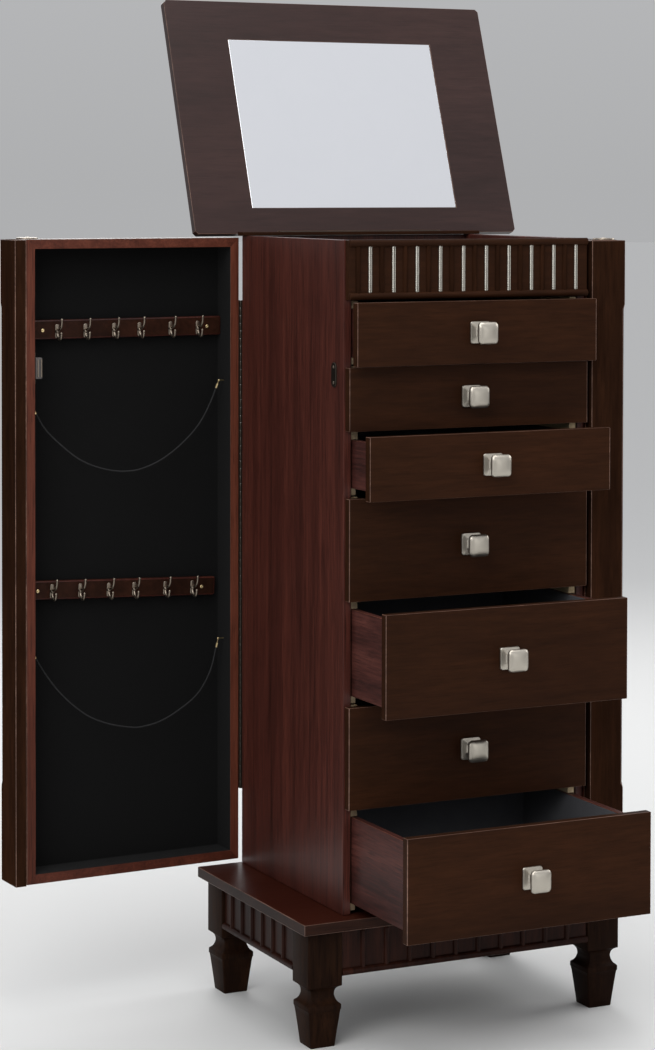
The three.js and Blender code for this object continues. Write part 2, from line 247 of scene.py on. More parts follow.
def stained_boards_darker_left_ends(m, col):
    """The boards behind the runners are stained, and the left runners' front ends are made darker. The rest is bare."""
    x = m.axes(m.position())["X"]
    middle = ORIGIN.x + MID_X * MM
    # the front-facing faces of the left runners are darkened
    left_ends = m.maths("MULTIPLY", m.maths("LESS_THAN", x, middle),
                        m.maths("LESS_THAN", m.axes(m.normal())["Y"], -0.7))
    col = m.mix(m.maths("MULTIPLY", left_ends, 0.7), col, srgb(52, 34, 24))
    from_middle = m.maths("ABSOLUTE", m.maths("SUBTRACT", x, middle))
    board = m.maths("GREATER_THAN", from_middle, 158.15 * MM)
    return m.mix(board, col, m.mix(0.9, col, srgb(44, 20, 14)))


def outer_stain(side):
    """The doors are stained mahogany round the mouth of the recess and espresso everywhere behind it."""
    def over(m, col):
        base = door_point(side, 0, 0, 0)
        n = (door_point(side, 0, 1, 0) - base).normalized()
        d = m.add("ShaderNodeVectorMath", {"operation": "DOT_PRODUCT"}, _0=m.position())
        d.inputs[1].default_value = n
        behind = m.maths("GREATER_THAN", d.outputs["Value"], base.dot(n) + 0.0015)
        return m.mix(behind, col, m.mix(1.0, col, (0.28, 0.49, 0.48), "MULTIPLY"))
    return over


ESPRESSO_X = wood("espresso_fronts", srgb(36, 20, 12), srgb(46, 26, 15), srgb(58, 33, 19), "x", 0.42, 0.0, pore=0.25,
                  spec=0.03)
ESPRESSO_Z = wood("espresso_uprights", srgb(30, 17, 11), srgb(42, 25, 16), srgb(56, 33, 21), "z", 0.5, 0.0, pore=0.25,
                  seed=3.1, spec=0.0)
ESPRESSO_LEG = wood("espresso_legs", srgb(20, 11, 8), srgb(33, 20, 13), srgb(52, 32, 20), "z", 0.4, 0.0, seed=8.3,
                    spec=0.02)
ESPRESSO_APRON = wood("espresso_aprons", srgb(24, 11, 8), srgb(42, 22, 16), srgb(62, 33, 24), "z", 0.34, 0.03, seed=6.1,
                      spec=0.05)
# its upper faces carry a painted reflection of the red sides
SLAB_WOOD = wood("espresso_slab", srgb(24, 12, 8), srgb(38, 21, 15), srgb(52, 30, 21), "x", 0.32, 0.03, seed=2.7,
                 spec=0.05, over=painted_side_reflection_on_top)
# paler colour for eased edges: a painted highlight along them, partly also wear
EDGE_WEAR_AND_HIGHLIGHT = wood("edge_wear_and_painted_highlight", srgb(62, 42, 34), srgb(98, 72, 60), srgb(146, 114, 98), "x", 0.34, 0.1, pore=0.1,
                 spec=0.3)
LID_WOOD = wood("espresso_lid", srgb(37, 21, 18), srgb(47, 28, 25), srgb(57, 36, 32), "x", 0.42, 0.05, pore=0.25,
                seed=7.7, spec=0.24)
MAHOGANY_Z = wood("mahogany_sides", srgb(44, 20, 15), srgb(71, 34, 27), srgb(98, 50, 39), "z", 0.42, 0.04, seed=1.3,
                  spec=0.22, grain=0.62, stretch=0.022, scale=3.2)
MAHOGANY_Y = wood("mahogany_drawer_sides", srgb(38, 18, 15), srgb(68, 35, 30), srgb(96, 54, 46), "y", 0.48, 0.02,
                  seed=5.2, spec=0.22, grain=0.5, stretch=0.06, scale=2.4)
DOOR_WOOD = {side: wood(f"{side}_door_wood", srgb(58, 25, 17), srgb(84, 40, 28), srgb(112, 57, 41), "z", 0.42, 0.04,
                        seed=9.4, spec=0.1, over=outer_stain(side)) for side in ("left", "right")}
FACING_Z = wood("door_facing_stiles", srgb(58, 27, 18), srgb(84, 42, 30), srgb(110, 60, 44), "z", 0.44, 0.03, seed=4.4,
                spec=0.12, stretch=0.03, scale=2.4)
FACING_Y = wood("door_facing_rails", srgb(56, 26, 18), srgb(84, 42, 30), srgb(110, 60, 44), "y", 0.44, 0.03, seed=6.9,
                spec=0.12, stretch=0.03, scale=2.4)
# paler colour for the drawer boxes' eased edges: a painted highlight
BOX_EDGE_HIGHLIGHT = wood("box_edge_highlight", srgb(84, 46, 34), srgb(112, 66, 50), srgb(140, 88, 70), "z", 0.4, 0.1, pore=0.1)
RAIL_WOOD = wood("rail_wood", srgb(26, 13, 9), srgb(42, 23, 15), srgb(58, 32, 22), "y", 0.4, 0.02, seed=11.0, spec=0.05)
# paler, redder colour for the rail boards' eased edges: a painted highlight
RAIL_EDGE_HIGHLIGHT = wood("rail_edge_highlight", srgb(38, 14, 10), srgb(58, 24, 17), srgb(78, 36, 26), "y", 0.35, 0.05, seed=12.0)
RAW = wood("raw_runner_wood", srgb(156, 134, 102), srgb(200, 178, 142), srgb(224, 206, 172), "y", 0.7, 0.0, pore=0.25,
           seed=2.2, over=stained_boards_darker_left_ends)
# the drawers' and top tray's felt: the doors' black felt painted lighter, standing in for light in their shade
LIGHTENED_FELT = felt("black_felt_painted_lighter", srgb(54, 54, 57), srgb(98, 98, 102))
DOOR_FELT = felt("black_door_felt", srgb(5, 5, 5), srgb(15, 15, 15), 0.04)
NICKEL = metal("brushed_nickel", srgb(188, 181, 169), 0.3, "x", 0.8, 0.25)
SILVER = metal("silver_strip", srgb(196, 192, 182), 0.3, None, 0.8, 0.2)
OLD_NICKEL = metal("antique_nickel", srgb(150, 138, 124), 0.3, None, 0.6, 0.7)
HINGE = metal("hinge_steel", srgb(66, 60, 54), 0.4, "z", 0.6, 0.5)
BRASS = metal("brass", srgb(232, 208, 156), 0.26, None, 0.5, 0.2)


def mirror_material():
    m = Net("mirror_glass")
    v = m.coords()
    smear = m.noise(v, 22, 4, 0.6, 0.8)
    m.set("Base Color", m.mix(m.maths("MULTIPLY", smear, 0.12), srgb(244, 245, 248), srgb(216, 219, 226)))
    m.set("Metallic", 1.0)
    m.set("Roughness", m.maths("ADD", m.maths("MULTIPLY", smear, 0.05), 0.015))
    m.set("Coat Weight", 0.4)
    m.set("Coat Roughness", 0.02)
    return m.mat


def elastic_material():
    m = Net("elastic_cord")
    w = m.add("ShaderNodeTexWave", {"wave_type": "BANDS", "bands_direction": "DIAGONAL"}, Vector=m.position(),
              Scale=420.0, Distortion=2.0, Detail=2.0)
    col = m.mix(w.outputs["Fac"], srgb(8, 8, 9), srgb(24, 24, 26))
    m.set("Base Color", col)
    m.set("Roughness", 0.8)
    m.set("Sheen Weight", 0.04)
    m.bump(w.outputs["Fac"], 0.5, 0.0004)
    return m.mat


def plastic(name, color):
    m = Net(name)
    n = m.noise(m.coords(), 700, 3)
    m.set("Base Color", m.mix(m.maths("MULTIPLY", n, 0.4), color, tuple(min(1, c * 1.8) for c in color)))
    m.set("Roughness", 0.5)
    m.bump(n, 0.25, 0.0003)
    return m.mat


MIRROR = mirror_material()
ELASTIC = elastic_material()
GREY_PLASTIC = plastic("grey_plastic", srgb(70, 66, 64))


# ---------------------------------------------------------------- mesh helpers
SMOOTH, FLAT = 180, 0


def obj_from(name, bm, mat, body, crease=SMOOTH, bevel=None):
    """A mesh object on a body. Edges that turn by more than crease degrees are shaded sharp."""
    me = bpy.data.meshes.new(name)
    bmesh.ops.recalc_face_normals(bm, faces=bm.faces)
    for f in bm.faces:
        f.smooth = crease != FLAT
    if crease not in (SMOOTH, FLAT):
        for e in bm.edges:
            if len(e.link_faces) == 2 and e.calc_face_angle(0) > math.radians(crease):
                e.smooth = False
    bm.to_mesh(me)
    bm.free()
    o = bpy.data.objects.new(name, me)
    bpy.context.scene.collection.objects.link(o)
    me.materials.append(mat)
    if bevel:
        add_bevel(o, bevel)
    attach(o, body)
    return o


def add_bevel(o, width):
    b = o.modifiers.new("edge", "BEVEL")
    b.width = width
    b.segments = 2
    b.limit_method = "ANGLE"
    b.angle_limit = math.radians(35)
    return b


def add_box(bm, corners):
    """corners(i, j, k) gives each of the eight points, i, j, k in 0..1."""
    v = {}
    for i in (0, 1):
        for j in (0, 1):
            for k in (0, 1):
                v[i, j, k] = bm.verts.new(corners(i, j, k))
    for f in (((0, 0, 0), (0, 1, 0), (1, 1, 0), (1, 0, 0)), ((0, 0, 1), (1, 0, 1), (1, 1, 1), (0, 1, 1)),
              ((0, 0, 0), (1, 0, 0), (1, 0, 1), (0, 0, 1)), ((0, 1, 0), (0, 1, 1), (1, 1, 1), (1, 1, 0)),
              ((0, 0, 0), (0, 0, 1), (0, 1, 1), (0, 1, 0)), ((1, 0, 0), (1, 1, 0), (1, 1, 1), (1, 0, 1))):
        bm.faces.new([v[q] for q in f])


def box_mm(bm, x0, x1, y0, y1, z0, z1, place=at):
    add_box(bm, lambda i, j, k: place((x0, x1)[i], (y0, y1)[j], (z0, z1)[k]))


def add_ball(bm, centre, r, subdivisions):
    bmesh.ops.create_icosphere(bm, subdivisions=subdivisions, radius=r * MM, matrix=Matrix.Translation(centre))


def rounded_rect(hx, hy, r, n):
    """Points round a rectangle of half sizes hx and hy, its corners of radius r turned in n steps."""
    pts = []
    for q, (sx, sy) in enumerate(((1, 1), (-1, 1), (-1, -1), (1, -1))):
        for i in range(n + 1):
            a = math.pi / 2 * q + math.pi / 2 * i / n
            pts.append((sx * (hx - r) + r * math.cos(a), sy * (hy - r) + r * math.sin(a)))
    return pts


def rounded_square(half, r, n):
    return rounded_rect(half, half, min(r, half * 0.98), n)


def turn(n):
    """The n angles of a full turn."""
    return [2 * math.pi * k / n for k in range(n)]


def hoop(c, s, t, r, n):
    """n points at radius r about c, in the plane of the unit vectors s and t."""
    return [c + (s * math.cos(a) + t * math.sin(a)) * r for a in turn(n)]


def plane_of(d):
    """Two unit vectors square to d and to each other."""
    s = d.orthogonal().normalized()
    return s, d.cross(s)


def loft(bm, rings):
    """rings: lists of points with equal counts; the ends are capped."""
    vr = [[bm.verts.new(p) for p in ring] for ring in rings]
    n = len(vr[0])
    for a, b in zip(vr, vr[1:]):
        for i in range(n):
            bm.faces.new((a[i], a[(i + 1) % n], b[(i + 1) % n], b[i]))
    bm.faces.new(vr[0])
    bm.faces.new(vr[-1])


def rod_mm(bm, p0, p1, r, n):
    a, b = at(*p0), at(*p1)
    s, t = plane_of((b - a).normalized())
    loft(bm, [hoop(c, s, t, r * MM, n) for c in (a, b)])


def sweep(bm, pts, r, n, taper):
    """A tube through points in metres. taper gives its thickness along the way, from 0 to 1."""
    pts = [Vector(p) for p in pts]
    rings = []
    s = None
    for i, p in enumerate(pts):
        d = (pts[min(i + 1, len(pts) - 1)] - pts[max(i - 1, 0)]).normalized()
        if s is None:
            s = d.orthogonal().normalized()
        s = (s - d * s.dot(d)).normalized()
        t = d.cross(s)
        rings.append(hoop(p, s, t, r * taper(i / (len(pts) - 1)), n))
    loft(bm, rings)


def catmull(points, steps):
    """Centripetal Catmull-Rom through the points, cut into equal steps."""
    per_span = 24
    P = [Vector(p) for p in points]
    P = [P[0] * 2 - P[1]] + P + [P[-1] * 2 - P[-2]]
    dense = []
    for i in range(1, len(P) - 2):
        p0, p1, p2, p3 = P[i - 1], P[i], P[i + 1], P[i + 2]
        d = [max((a - b).length ** 0.5, 1e-6) for a, b in ((p1, p0), (p2, p1), (p3, p2))]
        t0, t1, t2, t3 = 0, d[0], d[0] + d[1], d[0] + d[1] + d[2]
        for j in range(per_span):
            t = t1 + (t2 - t1) * j / per_span
            a1 = p0 * ((t1 - t) / (t1 - t0)) + p1 * ((t - t0) / (t1 - t0))
            a2 = p1 * ((t2 - t) / (t2 - t1)) + p2 * ((t - t1) / (t2 - t1))
            a3 = p2 * ((t3 - t) / (t3 - t2)) + p3 * ((t - t2) / (t3 - t2))
            b1 = a1 * ((t2 - t) / (t2 - t0)) + a2 * ((t - t0) / (t2 - t0))
            b2 = a2 * ((t3 - t) / (t3 - t1)) + a3 * ((t - t1) / (t3 - t1))
            dense.append(b1 * ((t2 - t) / (t2 - t1)) + b2 * ((t - t1) / (t2 - t1)))
    dense.append(P[-2])
    lens = [0.0]
    for a, b in zip(dense, dense[1:]):
        lens.append(lens[-1] + (b - a).length)
    out, j = [], 0
    for k in range(steps + 1):
        target = lens[-1] * k / steps
        while j < len(lens) - 2 and lens[j + 1] < target:
            j += 1
        f = (target - lens[j]) / max(lens[j + 1] - lens[j], 1e-9)
        out.append(dense[j].lerp(dense[j + 1], f))
    return out


# ---------------------------------------------------------------- cords
CORD_RADIUS = 0.9
CORDS = {
    "upper": [(23.7, 20, 624.1), (32, 20, 605), (49.3, 20, 576.8), (78, 20, 549.8), (106.5, 20, 532.1),
              (134.8, 20, 522.6), (148.8, 20, 521.3), (162.9, 20, 521.7), (190.7, 20, 527.5),
              (218.4, 20, 539.6), (245.9, 20, 560.7), (266, 20, 580.5), (278.3, 20, 600)],
    "lower": [(23.2, 20, 282.6), (31.8, 20, 252.5), (49.2, 20, 225), (78, 20, 204.5), (106.5, 20, 191.9),
              (134.9, 20, 187.4), (149, 20, 188.9), (177.1, 20, 195.6), (204.9, 20, 207.6),
              (232.6, 20, 228.7), (252, 20, 249), (266.8, 20, 268.8), (279, 20, 288.3)],
}


def make_cord(which):
    pts = catmull([door_point("left", *p) for p in CORDS[which]], 72)
    cu = bpy.data.curves.new(f"cord_{which}", "CURVE")
    cu.dimensions = "3D"
    sp = cu.splines.new("POLY")
    sp.points.add(len(pts) - 1)
    for q, p in zip(sp.points, pts):
        q.co = (*p, 1)
    cu.bevel_depth = CORD_RADIUS * MM
    cu.bevel_resolution = 3
    cu.use_fill_caps = True
    cu.materials.append(ELASTIC)
    o = bpy.data.objects.new(f"cord_{which}", cu)
    bpy.context.scene.collection.objects.link(o)
    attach(o, "left_door")
    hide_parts(f"left_cord_{which}")


make_cord("upper")
make_cord("lower")


# ---------------------------------------------------------------- CAD nodes that keep their own shape
def dress(node, mat, bevel, edge=None):
    """Gives a CAD piece its material and eased edges, which may take a paler colour: a painted highlight along the
    edges.
    """
    o = NODES[node]
    if not o.material_slots:
        o.data.materials.append(mat)
    for s in o.material_slots:
        s.material = mat
    # the faceted solids arrive as loose triangles, so they are welded before their edges are eased
    o.modifiers.new("weld", "WELD").merge_threshold = 0.00001
    b = add_bevel(o, bevel)
    # the bevel faces take the paler edge colour, a painted highlight
    if edge:
        o.data.materials.append(edge)
        b.material = len(o.material_slots) - 1
    o.modifiers.new("flats", "WEIGHTED_NORMAL").keep_sharp = False


dress("base_slab", SLAB_WOOD, 0.0007, EDGE_WEAR_AND_HIGHLIGHT)
for n in ("side_panel_left", "side_panel_right", "back_panel"):
    dress(n, MAHOGANY_Z, 0.0008)
dress("tray", LIGHTENED_FELT, 0.0005)
dress("rear_rail", ESPRESSO_X, 0.0005)
for n in ("left_runners", "right_runners"):
    dress(n, RAW, 0.0004)
dress("lid_panel", LID_WOOD, 0.0005, EDGE_WEAR_AND_HIGHLIGHT)
dress("lid_mirror", MIRROR, 0.0006)
for n in ("left_pilaster", "right_pilaster"):
    dress(n, ESPRESSO_Z, 0.0007, EDGE_WEAR_AND_HIGHLIGHT)
for side, stained in DOOR_WOOD.items():
    dress(f"{side}_door_box", stained, 0.0006, EDGE_WEAR_AND_HIGHLIGHT)
for n in ("cord_upper_hinge_end", "cord_upper_free_end", "cord_lower_hinge_end", "cord_lower_free_end"):
    dress(n, BRASS, 0.0001)

# ---------------------------------------------------------------- base: turned legs, reeded aprons
# half width and height, from the foot up
LEG_PROFILE = [(16.0, -158), (16.3, -157.2), (17.2, -149), (18.9, -134), (20.9, -117), (21.7, -112.2), (22.3, -111.4),
               (22.3, -106.2), (21.7, -105.2), (20.6, -104.3), (19.2, -103.2), (17.6, -101), (16.4, -98),
               (15.7, -95.4), (15.6, -93), (15.9, -90.4), (16.8, -87.6), (18.4, -85.4), (20.4, -83.9),
               (22.0, -83.1), (22.7, -82.8), (23, -82.0), (23, -48), (23, -14.4), (22.5, -13.7)]


def make_leg(name, cx, cy, node):
    bm = bmesh.new()
    loft(bm, [[at(cx + x, cy + y, z) for x, y in rounded_square(half, 1.6, 3)] for half, z in LEG_PROFILE])
    o = obj_from(name, bm, ESPRESSO_LEG, "carcass", crease=32)
    if node:
        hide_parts(node)


def make_apron(name, place, lo, hi, reeds, pitch, mid, node):
    """A board with a half-round bead along its foot and upright reeds. place(t, out, z) gives a point."""
    bead, bead_z, reed = 4.6, -67.2, 3.25
    bm = bmesh.new()
    box_mm(bm, lo, hi, -14, 0, -70, -13.7, place)
    loft(bm, [[place(t, bead * math.cos(a), bead_z + bead * math.sin(a)) for a in turn(18)] for t in (lo, hi)])
    for k in range(reeds):
        c = mid + (k - (reeds - 1) / 2) * pitch
        loft(bm, [[place(c + reed * q * math.cos(a), reed * q * math.sin(a), z) for a in turn(18)]
                  for z, q in ((-65, 1), (-20, 1), (-18.6, 0.92), (-17.4, 0.7), (-16.6, 0.35))])
    o = obj_from(name, bm, ESPRESSO_APRON, "carcass", crease=40)
    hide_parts(node)


for nm, x, y, node in (("leg_front_left", -27.2, 15, "front_frame"), ("leg_front_right", 366.2, 15, None),
                       ("leg_back_left", -27.2, 274, "back_frame"), ("leg_back_right", 366.2, 274, None)):
    make_leg(nm, x, y, node)
make_apron("apron_front_board", lambda t, o, z: at(t, -5 - o, z), -4, 343, 10, 32.1, MID_X, "front_frame")
make_apron("apron_back_board", lambda t, o, z: at(t, 292.8 + o, z), -4, 343, 0, 32.1, MID_X, "back_frame")
make_apron("apron_left_board", lambda t, o, z: at(-46 - o, t, z), 38.3, 250.7, 6, 31, 149, "apron_left")
make_apron("apron_right_board", lambda t, o, z: at(385 + o, t, z), 38.3, 250.7, 6, 31, 149, "apron_right")

# ---------------------------------------------------------------- frieze: board, mouldings, dark and silver reeds
bm = bmesh.new()
box_mm(bm, 2, 337, -10, -0.4, 751.8, 824.6)
o = obj_from("frieze_board", bm, ESPRESSO_X, "carcass", crease=FLAT, bevel=0.0006)
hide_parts("frieze")
for nm, zc in (("frieze_moulding_top", 820.6), ("frieze_moulding_foot", 756.2)):
    bm = bmesh.new()
    r = 4.5
    loft(bm, [[at(x, -10.5 - r * q * math.cos(a), zc + r * q * math.sin(a)) for a in turn(28)]
              for x, q in ((1.9, 0.8), (2.6, 1), (336.0, 1), (336.7, 0.8))])
    obj_from(nm, bm, ESPRESSO_X, "carcass", crease=40)
FRIEZE_MID, REED_PITCH, BEAD_STEP = 167.0, 16.1, 0.55
bm = bmesh.new()
bs = bmesh.new()
for k in range(20):
    x = FRIEZE_MID + (k - 9.5) * REED_PITCH
    if k % 2 == 0:
        rod_mm(bm, (x, -10, 757), (x, -10, 819.5), 3.2, 20)
    else:
        # a broad silver half-round and a thin one beside it, each rolled with fine beads
        for dx, r in ((-0.8, 1.6), (2.0, 0.75)):
            rings = []
            for i in range(110):
                q = r * (1.0 if i % 4 in (1, 2) else 0.88)
                rings.append([at(x + dx + q * math.cos(a), -10.4 + 1.2 * q * math.sin(a), 758.5 + i * BEAD_STEP)
                              for a in turn(12)])
            loft(bs, rings)
obj_from("frieze_dark_reeds", bm, ESPRESSO_Z, "carcass", crease=40)
obj_from("frieze_silver_strips", bs, SILVER, "carcass")

# ---------------------------------------------------------------- drawers
# foot and top of each front, and how far the drawer is pulled out
DRAWERS = [(671.7, 749.4, 21.3), (592.0, 669.7, 0), (512.3, 590.0, 55), (385.1, 510.3, 0), (257.9, 383.1, 97.6),
           (130.7, 255.9, 0), (3.5, 128.7, 153.4)]

# half width, distance from the front and corner radius, from the backplate out to the cap's crown
KNOB_PROFILE = [(12.4, 0.35, 2.4), (12.65, 0.8, 2.6), (12.7, 1.7, 2.6), (12.3, 2.6, 2.8), (10.4, 3.2, 2.8),
                (7.0, 4.0, 2.4), (5.6, 5.0, 1.8), (5.1, 6.6, 1.5), (5.1, 12.6, 1.5), (5.6, 14.6, 1.8),
                (7.4, 16.4, 2.4), (10.2, 17.8, 3.4), (12.0, 19.0, 3.8), (12.7, 20.2, 4.0), (12.8, 21.4, 4.0),
                (12.6, 22.6, 4.0), (12.0, 23.7, 4.2), (10.8, 24.9, 4.6), (8.8, 26.0, 4.6), (6.2, 26.7, 4.0),
                (3.2, 27.1, 2.4), (1.0, 27.15, 0.8)]
KNOB_WIDEN, KNOB_SOFTEN = 1.07, 1.25


def make_knob(i, z, ext):
    bm = bmesh.new()
    loft(bm, [[at(MID_X + x, FRONT_FACE - ext - d, z + y)
               for x, y in rounded_square(KNOB_WIDEN * h, KNOB_SOFTEN * r, 5)] for h, d, r in KNOB_PROFILE])
    o = obj_from(f"drawer_{i}_square_knob", bm, NICKEL, f"drawer_{i}", crease=38)
    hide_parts(f"drawer_{i}_knob")


def felt_tray(name, body, x0, x1, y0, y1, zb, zt):
    """Felt over a floor and up four walls: a thin open shell with a softly folded rim and floor corners."""
    bm = bmesh.new()
    t = 1.1
    cx, cy = (x0 + x1) / 2, (y0 + y1) / 2
    loft(bm, [[at(cx + x, cy + y, z) for x, y in rounded_rect((x1 - x0) / 2 - inset, (y1 - y0) / 2 - inset, r, 4)]
              for inset, z, r in ((0, zb, 0.6), (0, zt, 0.6), (0.3, zt + 0.4, 0.7), (t - 0.3, zt + 0.4, 1.2),
                                  (t, zt, 1.6), (t, zb + 4, 2.0), (t + 0.7, zb + 2.2, 2.4), (t + 2.4, zb + 1.2, 3.0))])
    obj_from(name, bm, LIGHTENED_FELT, body, crease=50)


for i, (z0, z1, ext) in enumerate(DRAWERS, 1):
    dress(f"drawer_{i}_front", ESPRESSO_X, 0.0007, EDGE_WEAR_AND_HIGHLIGHT)
    dress(f"drawer_{i}_box", MAHOGANY_Y, 0.0006, BOX_EDGE_HIGHLIGHT)
    make_knob(i, (z0 + z1) / 2, ext)
    felt_tray(f"drawer_{i}_felt", f"drawer_{i}", 20.7, 318.3, 8.0 - ext, 265.8 - ext, z0 + 14.15, z1 - 10.2)
felt_tray("top_compartment_felt", "carcass", 10.5, 328.5, 0.5, 293.5, 758.05, 818)

# ---------------------------------------------------------------- piano hinges
def lid_point(x, dy, dz):
    """A point given in the closed lid's frame, about its pin, turned to the open lid."""
    c, s = math.cos(LID_OPEN), math.sin(LID_OPEN)
    return at(x, LID_PIN[0] + dy * c + dz * s, LID_PIN[1] - dy * s + dz * c)


def fixed_lid_point(x, dy, dz):
    return at(x, LID_PIN[0] + dy, LID_PIN[1] + dz)


def piano_leaf(name, place, t0, t1, leaf, r, pitch, moving, body, node):
    """place(t, a, b) gives a point along and across the pin. leaf = (a0, a1, b0, b1) across the leaf."""
    bm = bmesh.new()
    a0, a1, b0, b1 = leaf
    box_mm(bm, t0, t1, a0, a1, b0, b1, place)
    n = int(round((t1 - t0) / pitch))
    p = (t1 - t0) / n
    for i in range(n):
        if (i % 2 == 1) != moving:
            continue
        c0, c1 = t0 + i * p + 0.15, t0 + (i + 1) * p - 0.15
        loft(bm, [[place(t, r * q * math.cos(a), r * q * math.sin(a)) for a in turn(14)]
                  for t, q in ((c0, 0.86), (c0 + 0.3, 1), (c1 - 0.3, 1), (c1, 0.86))])
    o = obj_from(name, bm, HINGE, body, crease=35)
    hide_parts(node)


LID_HINGE = (54.4, 293.3)       # from and to, along x
DOOR_HINGE = (98, 740)          # from and to, along z
piano_leaf("lid_piano_hinge_lower", fixed_lid_point, *LID_HINGE, (-13, -0.6, -0.1, 0.7), 1.6, 9.6, False,
           "carcass", "lid_hinge_fixed_leaf")
piano_leaf("lid_piano_hinge_upper", lid_point, *LID_HINGE, (0.5, 1.2, 0.5, 13), 1.6, 9.6, True,
           "lid", "lid_hinge_moving_leaf")
for side in ("left", "right"):

    def fixed_place(t, a, b, px=DOOR_PIN_X[side], s=-1 if side == "left" else 1):
        # a is inward from the pin, b towards the back
        return at(px - s * a, DOOR_PIN_Y + b, t)

    def moving_place(t, a, b, side=side):
        # a is outward from the pin, b towards the back
        return door_point(side, -1.8 - b, a - 1.5, t)

    piano_leaf(f"{side}_piano_hinge_fixed", fixed_place, *DOOR_HINGE, (0.2, 11, -1.5, -0.8), 1.5, 10, False,
               "carcass", f"{side}_hinge_fixed_leaf")
    piano_leaf(f"{side}_piano_hinge_moving", moving_place, *DOOR_HINGE, (0.2, 20, -1.5, -0.8), 1.5, 10, True,
               f"{side}_door", f"{side}_hinge_moving_leaf")


# ---------------------------------------------------------------- inside the doors
def screw_head(bm, centre, axis, r, h):
    """A domed screw head with a dimpled crown, standing out along an axis. The centre is in metres."""
    d = Vector(axis).normalized()
    s, t = plane_of(d)
    loft(bm, [hoop(Vector(centre) + d * h * hh * MM, s, t, r * q * MM, 20)
              for q, hh in ((1.0, 0), (1.0, 0.25), (0.9, 0.6), (0.7, 0.85), (0.42, 0.97), (0.3, 0.7), (0.12, 0.55))])


DOOR_U, DOOR_Z = (0.6, 299.4), (5.6, 821.4)         # the inner face, just inside its edges
RECESS_U, RECESS_Z = (12, 288), (17, 810)
HOOKS_U = (245.7, 206.3, 166.2, 130.1, 85.6, 46.3)


